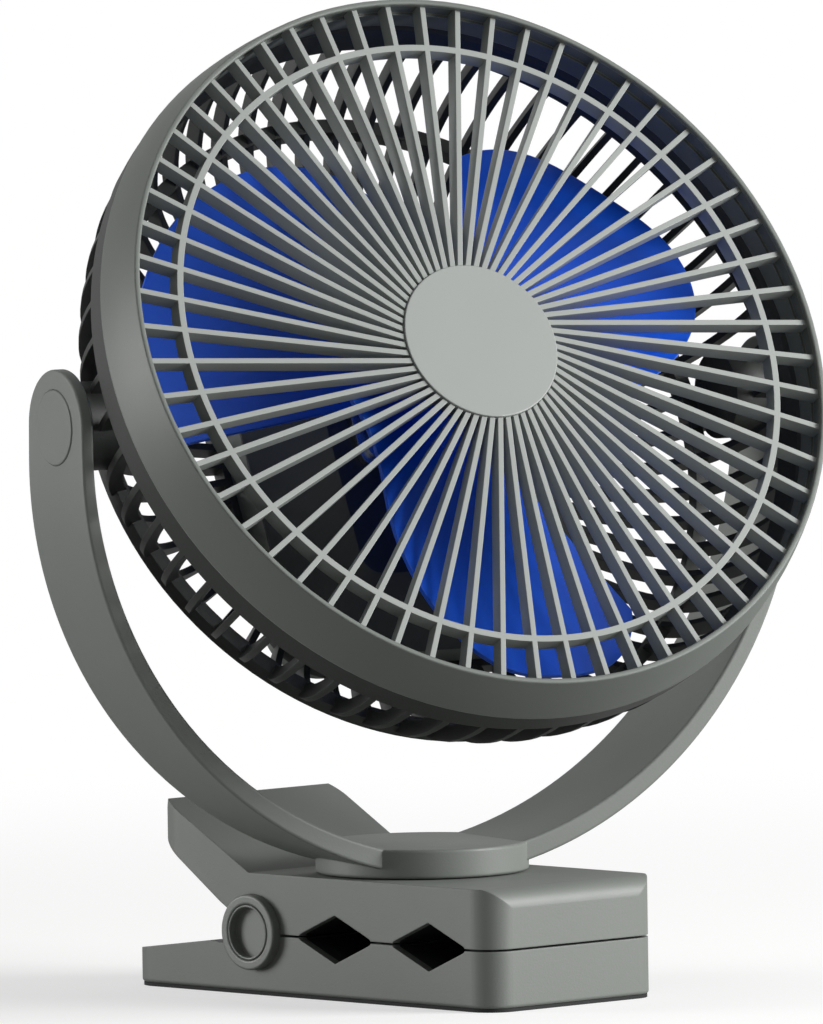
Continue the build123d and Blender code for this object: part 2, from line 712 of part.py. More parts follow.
# U-shaped yoke: a pointed arch, upside down, on a round turntable with a spigot
yoke_top = pivot_height + arm_end_radius
inner_arc_turn = degrees(acos(arch_point / inner_arc_radius))
outer_arc_turn = degrees(acos(arch_point / outer_arc_radius))
with BuildPart() as yoke:
    with BuildSketch(yoke_face):
        with BuildLine():
            CenterArc((-arch_point, outer_arc_height), outer_arc_radius, 0, -outer_arc_turn)
            Line((arm_outer_half, outer_arc_height), (arm_outer_half, yoke_top))
            Line((arm_outer_half, yoke_top), (arm_inner_half, yoke_top))
            Line((arm_inner_half, yoke_top), (arm_inner_half, arc_height))
            CenterArc((-arch_point, arc_height), inner_arc_radius, 0, -inner_arc_turn)
            mirror(about=Plane.YZ)
        make_face()
    extrude(amount=yoke_foot_width, both=True)
    with BuildSketch(yoke_side):
        with BuildLine():
            Polyline(
                (-arm_end_radius, pivot_height),
                (-yoke_foot_width / 2, turntable_bottom),
                (yoke_foot_width / 2, turntable_bottom),
                (arm_end_radius, pivot_height),
            )
            ThreePointArc(
                (arm_end_radius, pivot_height),
                (0, yoke_top),
                (-arm_end_radius, pivot_height),
            )
        make_face()
    extrude(amount=2 * arm_outer_half, both=True, mode=Mode.INTERSECT)
    fillet(yoke.edges().filter_by(lambda edge: edge.center().Z > turntable_top), yoke_edge)
    with BuildSketch(Plane.XY.offset(turntable_bottom)):
        Circle(turntable_radius)
    extrude(amount=turntable_height)
    disc_rims = yoke.edges().filter_by(GeomType.CIRCLE)
    disc_rims = disc_rims.filter_by(lambda rim: abs(rim.radius - turntable_radius) < running_gap)
    fillet(disc_rims, turntable_edge)
    with BuildSketch(Plane.XY.offset(turntable_bottom)):
        Circle(spigot_radius)
    extrude(amount=spigot_bottom - turntable_bottom)
    with BuildSketch(Plane.XY.offset(spigot_bottom)):
        Circle(swivel_screw_radius + running_gap)
    extrude(amount=swivel_screw_length, mode=Mode.SUBTRACT)
    for side in (-1, 1):
        with BuildSketch(head_side.offset(side * arm_inner_half)):
            Circle(pivot_pin_radius + running_gap)
        extrude(amount=side * arm_thickness, mode=Mode.SUBTRACT)
        with BuildSketch(head_side.offset(side * arm_outer_half)):
            Circle(pivot_recess_radius)
        extrude(amount=-side * pivot_recess_depth, mode=Mode.SUBTRACT)
save(yoke, "yoke")

# Round caps that cover the heads of the pivot pins
pivot_head_outside = arm_outer_half - pivot_recess_depth + pivot_head_height
with BuildPart() as pivot_caps:
    for side in (-1, 1):
        with BuildSketch(head_side.offset(side * (pivot_head_outside + seat_gap))):
            Circle(pivot_recess_radius - seat_gap)
        extrude(amount=side * (pivot_recess_depth - pivot_head_height - seat_gap + pivot_cap_proud))
    fillet(pivot_caps.edges().group_by(head_x)[0] + pivot_caps.edges().group_by(head_x)[-1], pivot_cap_edge)
save(pivot_caps, "pivot_caps")

# ---------------------------------------------------------------- fan head: front

# Flat front grille: slanting spokes, a middle ring and a disc for the hub
grille_back = spoke_front - spoke_depth
wall_radius = rim_radius - rim_face
grille_radius = wall_radius + rim_groove - seat_gap
grille_ring_radius = rim_radius - grille_ring_step
spoke_inside = hub_radius / 2
spoke_length = rim_radius - spoke_inside
with BuildPart() as front_grille:
    with BuildSketch(head.offset(grille_back)):
        with PolarLocations(0, spoke_count, start_angle=spoke_phase):
            with Locations((spoke_inside + spoke_length / 2, spoke_swirl)):
                Rectangle(spoke_length, spoke_width)
        Circle(grille_radius, mode=Mode.INTERSECT)
    extrude(amount=spoke_depth)
    with BuildSketch(head.offset(grille_back)):
        Circle(grille_ring_radius + grille_ring_width / 2)
        Circle(grille_ring_radius - grille_ring_width / 2, mode=Mode.SUBTRACT)
    extrude(amount=spoke_depth)
    with BuildSketch(head.offset(grille_back)):
        Circle(hub_radius)
    extrude(amount=spoke_depth)
    with BuildSketch(head.offset(spoke_front)):
        Circle(hub_radius)
    extrude(amount=hub_cap_proud - hub_cap_thickness, mode=Mode.SUBTRACT)
    with BuildSketch(head.offset(grille_back)):
        Circle(hub_stem_radius + running_gap)
    extrude(amount=spoke_depth, mode=Mode.SUBTRACT)
save(front_grille, "front_grille")

# Plain round cap over the hub, held by a stem
hub_cap_back = spoke_front + hub_cap_proud - hub_cap_thickness
with BuildPart() as hub_cap:
    with BuildSketch(head.offset(hub_cap_back)):
        Circle(hub_radius - seat_gap)
    extrude(amount=hub_cap_thickness)
    fillet(hub_cap.edges().sort_by(fan_axis)[-1], hub_cap_edge)
    with BuildSketch(head.offset(hub_cap_back)):
        Circle(hub_stem_radius)
    extrude(amount=-hub_stem_length)
save(hub_cap, "hub_cap")

# Front band: the smooth ring that holds the grille in a groove, slightly barrelled outside
rim_front = spoke_front + rim_lead
ring_front = seam_front - seam_gap
lip_front = ring_front + lip_length
with BuildPart() as front_bezel:
    with BuildSketch(head_section):
        with BuildLine():
            outside = ThreePointArc(
                (rim_radius, rim_front),
                ((rim_radius + band_radius) / 2 + band_bulge, (rim_front + seam_front) / 2),
                (band_radius, seam_front),
            )
            Polyline(
                outside @ 1,
                (band_radius - band_wall, seam_front),
                (band_radius - band_wall, lip_front + slide_gap),
                (wall_radius, lip_front + slide_gap),
                (wall_radius, grille_back - seat_gap),
                (wall_radius + rim_groove, grille_back - seat_gap),
                (wall_radius + rim_groove, spoke_front + seat_gap),
                (wall_radius, spoke_front + seat_gap),
                (wall_radius, rim_front),
                outside @ 0,
            )
        make_face()
        fillet(vertices().group_by(Axis.Y)[-1], rim_edge)
    revolve(axis=fan_axis)
save(front_bezel, "front_bezel")

# ---------------------------------------------------------------- fan head: rear shell

# Rear shell: a solid ring in front, straight ribs bent over a shoulder ring to the battery box
ring_back = ring_front - rear_ring_length
lip_radius = band_radius - band_wall - seat_gap
shoulder_ring_middle = shoulder_ring_start + shoulder_ring_length / 2 - bowl_shoulder_back


def bowl_points(inset):
    """Points on the bowl's outline, as radius and forward distance, moved inwards."""
    slant = inset * cos(radians(bowl_shoulder_slope))
    return (
        (rear_ring_radius - inset, ring_back),
        (bowl_pivot_radius - inset, 0),
        (bowl_shoulder_radius - slant, slant - bowl_shoulder_back),
        (bowl_dome_radius - slant / 2, inset - bowl_dome_back),
        (bowl_end_radius, inset - bowl_end_back),
    )


with BuildPart() as rear_grille:
    with BuildSketch(head_section):
        with BuildLine():
            outside = Spline(*bowl_points(0))
            inside = Spline(*bowl_points(rib_depth))
            Line(outside @ 0, inside @ 0)
            Line(outside @ 1, inside @ 1)
        make_face()
    revolve(axis=fan_axis)
    with BuildSketch(head.offset(-bowl_end_back)):
        with PolarLocations(0, rib_count, start_angle=rib_phase):
            with Locations((band_radius / 2, 0)):
                Rectangle(band_radius, rib_width)
        with Locations((0, -box_drop)):
            RectangleRounded(
                box_width + 2 * (seat_gap + frame_wall),
                box_height + 2 * (seat_gap + frame_wall),
                box_corner + seat_gap + frame_wall,
            )
    extrude(amount=bowl_end_back + ring_front, mode=Mode.INTERSECT)
    with BuildSketch(head_section):
        with Locations((shoulder_ring_radius, shoulder_ring_middle)):
            Rectangle(shoulder_ring_width, shoulder_ring_length)
    revolve(axis=fan_axis)
    with BuildSketch(head_section):
        with BuildLine():
            Polyline(
                (rear_ring_radius, ring_back),
                (rear_ring_radius + rear_ring_flare, ring_front),
                (lip_radius, ring_front),
                (lip_radius, lip_front),
                (lip_radius - lip_wall, lip_front),
                (lip_radius - lip_wall, ring_front),
                (rear_ring_radius - rear_ring_wall, ring_back),
                close=True,
            )
        make_face()
    revolve(axis=fan_axis)
    for side in (-1, 1):
        with BuildSketch(head_side.offset(side * pivot_boss_outside)):
            Circle(pivot_boss_radius)
        extrude(amount=-side * pivot_boss_length)
        with BuildSketch(head_side.offset(side * pivot_boss_outside)):
            Circle(pivot_pin_radius + running_gap)
        extrude(amount=-side * pivot_pin_depth, mode=Mode.SUBTRACT)
    with BuildSketch(head.offset(-box_back)):
        with Locations((0, -box_drop)):
            RectangleRounded(box_width + 2 * seat_gap, box_height + 2 * seat_gap, box_corner + seat_gap)
    extrude(amount=box_back + ring_front, mode=Mode.SUBTRACT)
save(rear_grille, "rear_grille")

# Friction washers between the head's bosses and the yoke's arms
with BuildPart() as pivot_bushes:
    for side in (-1, 1):
        with BuildSketch(head_side.offset(side * pivot_boss_outside)):
            Circle(pivot_bush_radius)
            Circle(pivot_pin_radius + running_gap, mode=Mode.SUBTRACT)
        extrude(amount=side * (pivot_bush_thickness - pivot_bush_gap))
save(pivot_bushes, "pivot_bushes")

# Pins through the yoke's arms, fixed in the head
pivot_head_inside = arm_outer_half - pivot_recess_depth
with BuildPart() as pivot_pins:
    for side in (-1, 1):
        with BuildSketch(head_side.offset(side * pivot_head_inside)):
            Circle(pivot_head_radius)
        extrude(amount=side * pivot_head_height)
        with BuildSketch(head_side.offset(side * pivot_head_inside)):
            Circle(pivot_pin_radius)
        extrude(amount=-side * (pivot_head_inside - pivot_boss_outside + pivot_pin_depth - seat_gap))
save(pivot_pins, "pivot_pins")

# ---------------------------------------------------------------- fan head: battery box

# Dark housing behind the blades: a rounded block with sloping sides, open at the back
with BuildPart() as housing_room:
    with BuildSketch(box_plane.offset(-box_split_back)):
        RectangleRounded(box_width - 2 * box_wall, box_height - 2 * box_wall, box_corner - box_wall)
    with BuildSketch(box_plane.offset(box_front - box_wall)):
        RectangleRounded(
            box_front_width - 2 * box_wall,
            box_front_height - 2 * box_wall,
            box_front_corner - box_wall,
        )
    loft()
    with BuildSketch(box_plane.offset(-box_split_back)):
        with GridLocations(screw_pitch_x, screw_pitch_y, 2, 2):
            Circle(cover_post_radius)
    extrude(amount=housing_post_length, mode=Mode.SUBTRACT)

with BuildPart() as battery_housing:
    with BuildSketch(box_plane.offset(-box_split_back)):
        RectangleRounded(box_width, box_height, box_corner)
    with BuildSketch(box_plane.offset(box_front)):
        RectangleRounded(box_front_width, box_front_height, box_front_corner)
    loft()
    add(housing_room.part, mode=Mode.SUBTRACT)
    with BuildSketch(box_plane.offset(-box_split_back)):
        with GridLocations(screw_pitch_x, screw_pitch_y, 2, 2):
            Circle(cover_screw_radius + running_gap)
    extrude(amount=housing_post_length - slide_gap, mode=Mode.SUBTRACT)
    with BuildSketch(head.offset(box_front)):
        with GridLocations(motor_screw_pitch_x, motor_screw_pitch_y, 2, 2):
            Circle(motor_screw_radius + running_gap)
    extrude(amount=-box_wall, mode=Mode.SUBTRACT)
save(battery_housing, "battery_housing")

# Rear cover of the box, with posts for its screws and holes for the controls
cover_depth = box_back - box_split_back - seat_gap
cover_inside = -box_back + box_wall
with BuildPart() as battery_cover:
    with BuildSketch(box_plane.offset(-box_back)):
        RectangleRounded(box_width, box_height, box_corner)
    extrude(amount=cover_depth)
    fillet(battery_cover.faces().sort_by(fan_axis)[0].edges(), box_edge)
    with BuildSketch(box_plane.offset(cover_inside)):
        RectangleRounded(box_width - 2 * box_wall, box_height - 2 * box_wall, box_corner - box_wall)
    extrude(amount=cover_depth, mode=Mode.SUBTRACT)
    with BuildSketch(box_plane.offset(-box_back + cover_screw_head_height)):
        with GridLocations(screw_pitch_x, screw_pitch_y, 2, 2):
            Circle(cover_post_radius)
    extrude(amount=cover_depth - cover_screw_head_height)
    with BuildSketch(board_plane.offset(cover_inside)):
        with GridLocations(2 * board_post_side, 0, 2, 1):
            Circle(board_post_radius)
    extrude(amount=box_back - box_wall - board_back - board_thickness / 2 - seat_gap)
    with BuildSketch(box_plane.offset(-box_back)):
        with GridLocations(screw_pitch_x, screw_pitch_y, 2, 2):
            Circle(cover_screw_radius + running_gap)
    extrude(amount=cover_depth, mode=Mode.SUBTRACT)
    with BuildSketch(box_plane.offset(-box_back)):
        with GridLocations(screw_pitch_x, screw_pitch_y, 2, 2):
            Circle(cover_screw_head_radius + seat_gap)
    extrude(amount=cover_screw_head_height, mode=Mode.SUBTRACT)
    with BuildSketch(board_plane.offset(-box_back)):
        Circle(button_radius + slide_gap)
        with Locations((light_side, 0)):
            with GridLocations(light_pitch, 0, light_count, 1):
                Circle(light_radius + seat_gap)
        with Locations((socket_side, 0)):
            RectangleRounded(socket_width + 2 * seat_gap, socket_height + 2 * seat_gap, socket_height / 2)
    extrude(amount=box_wall, mode=Mode.SUBTRACT)
save(battery_cover, "battery_cover")

# Screws that hold the cover to the housing
with BuildPart() as cover_screws:
    with BuildSketch(box_plane.offset(-box_back)):
        with GridLocations(screw_pitch_x, screw_pitch_y, 2, 2):
            Circle(cover_screw_head_radius)
    extrude(amount=cover_screw_head_height)
    with BuildSketch(box_plane.offset(-box_back + cover_screw_head_height)):
        with GridLocations(screw_pitch_x, screw_pitch_y, 2, 2):
            Circle(cover_screw_radius)
    extrude(amount=cover_screw_length)
    with BuildSketch(box_plane.offset(-box_back)):
        with GridLocations(screw_pitch_x, screw_pitch_y, 2, 2):
            Rectangle(cover_screw_head_radius, screw_slot_width)
            Rectangle(screw_slot_width, cover_screw_head_radius)
    extrude(amount=screw_slot_depth, mode=Mode.SUBTRACT)
save(cover_screws, "cover_screws")

# Four round cells side by side
with BuildPart() as battery_cells:
    with BuildSketch(cell_end):
        with GridLocations(cell_pitch, 0, cell_count, 1):
            Circle(cell_radius)
    extrude(amount=cell_length)
    fillet(battery_cells.edges().filter_by(GeomType.CIRCLE), cell_edge)
save(battery_cells, "battery_cells")

# Control board with the switch under the button
board_rear = -board_back - board_thickness / 2
flange_rear = cover_inside + seat_gap
flange_front = flange_rear + button_flange_thickness
with BuildPart() as control_board:
    with BuildSketch(board_plane.offset(board_rear)):
        Rectangle(board_width, board_height)
    extrude(amount=board_thickness)
    with BuildSketch(board_plane.offset(board_rear)):
        Circle(switch_radius)
    extrude(amount=flange_front + button_travel + slide_gap - board_rear)
save(control_board, "control_board")

# Push button through the cover, with a flange that stops it inside
with BuildPart() as power_button:
    with BuildSketch(board_plane.offset(-box_back - button_proud)):
        Circle(button_radius)
    extrude(amount=box_back + button_proud + flange_front)
    fillet(power_button.edges().sort_by(fan_axis)[0], button_edge)
    with BuildSketch(board_plane.offset(flange_rear)):
        Circle(button_radius + button_flange)
    extrude(amount=button_flange_thickness)
save(power_button, "power_button")

# Small round windows of the charge lights
with BuildPart() as charge_lights:
    with BuildSketch(board_plane.offset(board_rear)):
        with Locations((light_side, 0)):
            with GridLocations(light_pitch, 0, light_count, 1):
                Circle(light_radius)
    extrude(amount=-box_back - board_rear)
save(charge_lights, "charge_lights")

# Charging socket: a flat oval shell with a tongue
with BuildPart() as charge_socket:
    with BuildSketch(board_plane.offset(-box_back)):
        with Locations((socket_side, 0)):
            RectangleRounded(socket_width, socket_height, socket_height / 2 - seat_gap)
    extrude(amount=box_back + board_rear)
    with BuildSketch(board_plane.offset(-box_back)):
        with Locations((socket_side, 0)):
            RectangleRounded(
                socket_width - 2 * socket_wall,
                socket_height - 2 * socket_wall,
                socket_height / 2 - socket_wall - seat_gap,
            )
            Rectangle(socket_tongue_width, socket_tongue, mode=Mode.SUBTRACT)
    extrude(amount=box_back + board_rear - box_wall, mode=Mode.SUBTRACT)
save(charge_socket, "charge_socket")

# ---------------------------------------------------------------- fan head: motor

plate_front = box_front + motor_plate_thickness
motor_front = plate_front + motor_length
with BuildPart() as motor_plate:
    with BuildSketch(head.offset(box_front)):
        RectangleRounded(motor_plate_width, motor_plate_height, motor_plate_corner)
        with GridLocations(motor_screw_pitch_x, motor_screw_pitch_y, 2, 2):
            Circle(motor_screw_radius + running_gap, mode=Mode.SUBTRACT)
    extrude(amount=motor_plate_thickness)
save(motor_plate, "motor_plate")

with BuildPart() as motor_screws:
    with BuildSketch(head.offset(plate_front)):
        with GridLocations(motor_screw_pitch_x, motor_screw_pitch_y, 2, 2):
            Circle(motor_screw_head_radius)
    extrude(amount=motor_screw_head_height)
    with BuildSketch(head.offset(plate_front)):
        with GridLocations(motor_screw_pitch_x, motor_screw_pitch_y, 2, 2):
            Circle(motor_screw_radius)
    extrude(amount=-motor_screw_length)
save(motor_screws, "motor_screws")

with BuildPart() as motor_can:
    with BuildSketch(head.offset(plate_front)):
        Circle(motor_radius)
    extrude(amount=motor_length)
    fillet(motor_can.edges().sort_by(fan_axis)[-1], motor_edge)
    with BuildSketch(head.offset(motor_front)):
        Circle(motor_collar_radius)
    extrude(amount=motor_collar_height)
    with BuildSketch(head.offset(motor_front - shaft_depth)):
        Circle(shaft_radius + running_gap)
    extrude(amount=shaft_depth + motor_collar_height, mode=Mode.SUBTRACT)
save(motor_can, "motor_can")

# ---------------------------------------------------------------- fan wheel

# Shaft, that reaches from the motor through the wheel's hub
with BuildPart() as motor_shaft:
    with BuildSketch(head.offset(motor_front - shaft_depth + slide_gap)):
        Circle(shaft_radius)
    extrude(amount=wheel_hub_front - motor_front + shaft_depth - slide_gap)
save(motor_shaft, "motor_shaft")

# Brass bush that grips the shaft inside the hub
bush_back = motor_front + motor_collar_height + bush_gap
hub_floor = wheel_hub_front - wheel_hub_wall
with BuildPart() as shaft_bush:
    with BuildSketch(head.offset(bush_back)):
        Circle(bush_radius)
        Circle(shaft_radius + running_gap, mode=Mode.SUBTRACT)
    extrude(amount=hub_floor - bush_back)
save(shaft_bush, "shaft_bush")

# One blade: a shallow dished sheet across its own middle line, trimmed to the blade's outline
sheet_fall = blade_sheet_half * tan(radians(blade_pitch))
with BuildPart() as blade:
    with BuildSketch(blade_section):
        with BuildLine():
            front_face = ThreePointArc(
                (-blade_sheet_half, blade_middle + blade_dish + sheet_fall + blade_thickness / 2),
                (0, blade_middle + blade_thickness / 2),
                (blade_sheet_half, blade_middle + blade_dish - sheet_fall + blade_thickness / 2),
            )
            back_face = ThreePointArc(
                (-blade_sheet_half, blade_middle + blade_dish + sheet_fall - blade_thickness / 2),
                (0, blade_middle - blade_thickness / 2),
                (blade_sheet_half, blade_middle + blade_dish - sheet_fall - blade_thickness / 2),
            )
            Line(front_face @ 0, back_face @ 0)
            Line(front_face @ 1, back_face @ 1)
        make_face()
    extrude(amount=rim_radius)
    with BuildSketch(blade_plan):
        with BuildLine():
            outer = Spline(
                (blade_heel_along, blade_heel_across),
                (blade_waist_along, blade_waist_across),
                (blade_edge_along, blade_edge_across),
                (blade_toe_along, blade_toe_across),
                (blade_bend_along, blade_bend_across),
                (blade_tip_along, blade_tip_across),
                (blade_corner_along, blade_corner_across),
                (blade_tail_along, blade_tail_across),
            )
            trailing = Spline(
                outer @ 1,
                (blade_hollow_along, blade_hollow_across),
                (blade_root_along, blade_root_trail),
            )
            Polyline(trailing @ 1, (0, 0), (0, blade_root_lead), outer @ 0)
        make_face()
    extrude(amount=wheel_hub_front + rim_radius, mode=Mode.INTERSECT)

# Fan wheel: a cup over the motor with the blades round it
with BuildPart() as fan_wheel:
    with BuildSketch(head.offset(wheel_hub_back)):
        Circle(wheel_hub_radius)
    extrude(amount=wheel_hub_front - wheel_hub_back)
    fillet(fan_wheel.edges().sort_by(fan_axis)[-1], wheel_hub_edge)
    for copy in range(blade_count):
        add(blade.part.rotate(fan_axis, 360 / blade_count * copy))
    with BuildSketch(head.offset(box_front)):
        Circle(wheel_hub_radius - wheel_hub_wall)
    extrude(amount=hub_floor - box_front, mode=Mode.SUBTRACT)
    with BuildSketch(head.offset(hub_floor)):
        Circle(shaft_radius + running_gap)
    extrude(amount=wheel_hub_wall, mode=Mode.SUBTRACT)
save(fan_wheel, "fan_wheel")
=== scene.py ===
from math import cos, radians, sin

import bmesh
import bpy
from mathutils import Matrix, Vector


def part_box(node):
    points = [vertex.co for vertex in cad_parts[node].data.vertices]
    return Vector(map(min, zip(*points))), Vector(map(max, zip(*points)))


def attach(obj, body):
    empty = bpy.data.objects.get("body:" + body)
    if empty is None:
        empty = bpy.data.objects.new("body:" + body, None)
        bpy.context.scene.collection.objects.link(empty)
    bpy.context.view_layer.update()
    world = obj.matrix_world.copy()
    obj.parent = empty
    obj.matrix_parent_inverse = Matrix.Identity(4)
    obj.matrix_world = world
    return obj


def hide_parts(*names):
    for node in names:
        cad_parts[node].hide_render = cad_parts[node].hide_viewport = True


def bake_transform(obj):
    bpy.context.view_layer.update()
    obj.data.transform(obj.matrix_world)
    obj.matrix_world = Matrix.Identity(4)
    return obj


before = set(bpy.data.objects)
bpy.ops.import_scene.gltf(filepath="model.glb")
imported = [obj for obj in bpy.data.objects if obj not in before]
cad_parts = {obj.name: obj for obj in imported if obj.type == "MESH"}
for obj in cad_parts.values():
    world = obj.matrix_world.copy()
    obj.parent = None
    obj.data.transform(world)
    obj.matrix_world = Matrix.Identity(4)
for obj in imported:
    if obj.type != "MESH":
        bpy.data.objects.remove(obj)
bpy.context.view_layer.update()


# ---- Camera: a long lens a little above the table, 44 degrees round to the left of the clip's mouth.
# The mouth points towards the lens and to its right, and the head, turned on its yoke, faces the lens
# more squarely. Angles, distance and lens come from lining the model up with the photograph.
IMAGE_HEIGHT = 1024
camera_turn = radians(-43.92)
camera_rise = radians(4.04)
camera_roll = radians(0.85)
camera_distance = 5.88985
camera_offset = Vector((0.00343, -0.13022))
lens_pixels = 21747.6
sensor_height = 36                      # millimetres, as is the lens
farthest_seen = 50

back = Vector(
    (sin(camera_turn) * cos(camera_rise), -cos(camera_turn) * cos(camera_rise), sin(camera_rise))
)
right = Vector((cos(camera_turn), sin(camera_turn), 0))
up = back.cross(right)
lens_right = right * cos(camera_roll) - up * sin(camera_roll)
lens_up = right * sin(camera_roll) + up * cos(camera_roll)
camera_place = back * camera_distance - lens_right * camera_offset.x - lens_up * camera_offset.y

camera_data = bpy.data.cameras.new("camera")
camera_data.sensor_fit = "VERTICAL"
camera_data.sensor_height = sensor_height
camera_data.lens = lens_pixels / IMAGE_HEIGHT * sensor_height
camera_data.clip_end = farthest_seen
camera = bpy.data.objects.new("camera", camera_data)
camera_turned = Matrix((lens_right, lens_up, back)).transposed().to_4x4()
camera.matrix_world = Matrix.Translation(camera_place) @ camera_turned
bpy.context.scene.collection.objects.link(camera)
bpy.context.scene.camera = camera
bpy.context.scene.view_settings.view_transform = "Standard"


# ---- Studio floor: a matt white sweep that keeps the fan's soft shadow and fades to pure white.
# Its paint is darker than white, and is lifted for the lens alone, so that the fan gets no light
# from the lift.
def linear(hex_colour):
    """An sRGB hex colour as linear red, green, blue and alpha."""
    values = [int(hex_colour[i:i + 2], 16) / 255 for i in (1, 3, 5)]
    return [v / 12.92 if v <= 0.04045 else ((v + 0.055) / 1.055) ** 2.4 for v in values] + [1]


def add_node(tree, kind, **given):
    """Add a shader node; a name given is one of its properties, or an input by name or _number."""
    node = tree.nodes.new(kind)
    for name, value in given.items():
        if hasattr(node, name):
            setattr(node, name, value)
            continue
        key = int(name[1:]) if name[0] == "_" else name.replace("_", " ")
        if isinstance(value, bpy.types.NodeSocket):
            tree.links.new(value, node.inputs[key])
        else:
            node.inputs[key].default_value = value
    return node


def start_finish(name):
    """A new material, its empty node tree, and the socket that gives the place on the piece."""
    material = bpy.data.materials.new(name)
    material.use_nodes = True
    material.node_tree.nodes.clear()
    place = add_node(material.node_tree, "ShaderNodeTexCoord").outputs["Object"]
    return material, material.node_tree, place


def seen_ray(tree):
    """One for rays from the lens, straight or through a clear piece; nought for light on the fan."""
    ray = add_node(tree, "ShaderNodeLightPath")
    seen = add_node(
        tree,
        "ShaderNodeMath",
        operation="MAXIMUM",
        _0=ray.outputs["Is Camera Ray"],
        _1=ray.outputs["Is Transmission Ray"],
    )
    return seen.outputs[0]


floor_reach = 15.0                      # so far that its edge is out of sight
fade_start = 0.22
fade_end = 0.75
shadow_lift = 0.58                      # how much white the lens sees where no light falls
white = linear("#ffffff")

floor_mesh = bmesh.new()
bmesh.ops.create_grid(floor_mesh, x_segments=1, y_segments=1, size=floor_reach)
floor_data = bpy.data.meshes.new("studio_floor")
floor_mesh.to_mesh(floor_data)
floor_mesh.free()
floor = bpy.data.objects.new("studio_floor", floor_data)
bpy.context.scene.collection.objects.link(floor)

sweep_paint, tree, place = start_finish("matt_white_sweep_paint")
distance = add_node(tree, "ShaderNodeVectorMath", operation="LENGTH", _0=place)
fade = add_node(
    tree,
    "ShaderNodeMapRange",
    interpolation_type="SMOOTHSTEP",
    Value=distance.outputs["Value"],
    From_Min=fade_start,
    From_Max=fade_end,
)
paint = add_node(tree, "ShaderNodeBsdfDiffuse", Color=linear("#b8b8b7"))
lift = add_node(tree, "ShaderNodeEmission", Color=white, Strength=shadow_lift)
pure_white = add_node(tree, "ShaderNodeEmission", Color=white, Strength=1.0)
lifted = add_node(tree, "ShaderNodeAddShader", _0=paint.outputs[0], _1=lift.outputs[0])
faded = add_node(
    tree, "ShaderNodeMixShader", _0=fade.outputs[0], _1=lifted.outputs[0], _2=pure_white.outputs[0]
)
shown = add_node(
    tree, "ShaderNodeMixShader", _0=seen_ray(tree), _1=paint.outputs[0], _2=faded.outputs[0]
)
add_node(tree, "ShaderNodeOutputMaterial", Surface=shown.outputs[0])
floor_data.materials.append(sweep_paint)

# ---- Studio light: a strong soft lamp at the lens's right, higher than the fan, a weaker one at its
# left and a weak one overhead. The room is dim, about half as bright as white in reflections, so
# that level faces keep their sheen, and white where the lens sees it.
room_strength = 0.09
reflected_extra = 0.4

world = bpy.data.worlds.new("studio")
bpy.context.scene.world = world
world.use_nodes = True
tree = world.node_tree
tree.nodes.clear()
mirrored = add_node(tree, "ShaderNodeLightPath").outputs["Is Glossy Ray"]
dimmed = add_node(
    tree,
    "ShaderNodeMath",
    operation="MULTIPLY_ADD",
    _0=mirrored,
    _1=reflected_extra,
    _2=room_strength,
)
room = add_node(tree, "ShaderNodeBackground", Color=white, Strength=dimmed.outputs[0])
backdrop = add_node(tree, "ShaderNodeBackground", Color=white, Strength=1.0)
chosen = add_node(
    tree, "ShaderNodeMixShader", _0=seen_ray(tree), _1=room.outputs[0], _2=backdrop.outputs[0]
)
add_node(tree, "ShaderNodeOutputWorld", Surface=chosen.outputs[0])

fan_middle = Vector((0, 0, 0.14))
lamps = (
    ("right_lamp", Vector((1.05, -1.46, 0.75)), 1.0, 50),
    ("left_lamp", Vector((-1.1, 1.15, 0.3)), 0.7, 13),
    ("top_lamp", Vector((0.15, -0.1, 1.75)), 1.0, 5),
)
for name, lamp_place, width, watts in lamps:
    lamp_data = bpy.data.lights.new(name, "AREA")
    lamp_data.size = width
    lamp_data.energy = watts
    lamp = bpy.data.objects.new(name, lamp_data)
    aim = (fan_middle - lamp_place).to_track_quat("-Z", "Y").to_matrix().to_4x4()
    lamp.matrix_world = Matrix.Translation(lamp_place) @ aim
    bpy.context.scene.collection.objects.link(lamp)


# ---- Lower jaw: the clip's base and lower squeeze lever, one injection moulding of ABS in a warm
# grey with a trace of green. The spark-eroded mould leaves an even matt grain, the tone drifts a
# little with the flow of the melt, hands polish it in patches, and the edges are a shade lighter:
# wear and a painted highlight line.
def edge_wear_and_highlight(tree, edge_mm, most):
    """A slightly rounded normal, and how much a spot is paled: nought on a flat, most on an edge, for
    wear and a painted edge highlight.
    """
    turn_start, turn_full = 0.97, 0.8       # cosines between the rounded and the flat normal
    rounded = add_node(tree, "ShaderNodeBevel", samples=4, Radius=edge_mm / 1000).outputs[0]
    flat = add_node(tree, "ShaderNodeNewGeometry").outputs["Normal"]
    turn = add_node(tree, "ShaderNodeVectorMath", operation="DOT_PRODUCT", _0=rounded, _1=flat)
    # paled edges: wear and a painted highlight line along every edge
    rubbed_and_highlit = add_node(
        tree,
        "ShaderNodeMapRange",
        Value=turn.outputs["Value"],
        From_Min=turn_start,
        From_Max=turn_full,
        To_Max=most,
    )
    return rounded, rubbed_and_highlit.outputs[0]


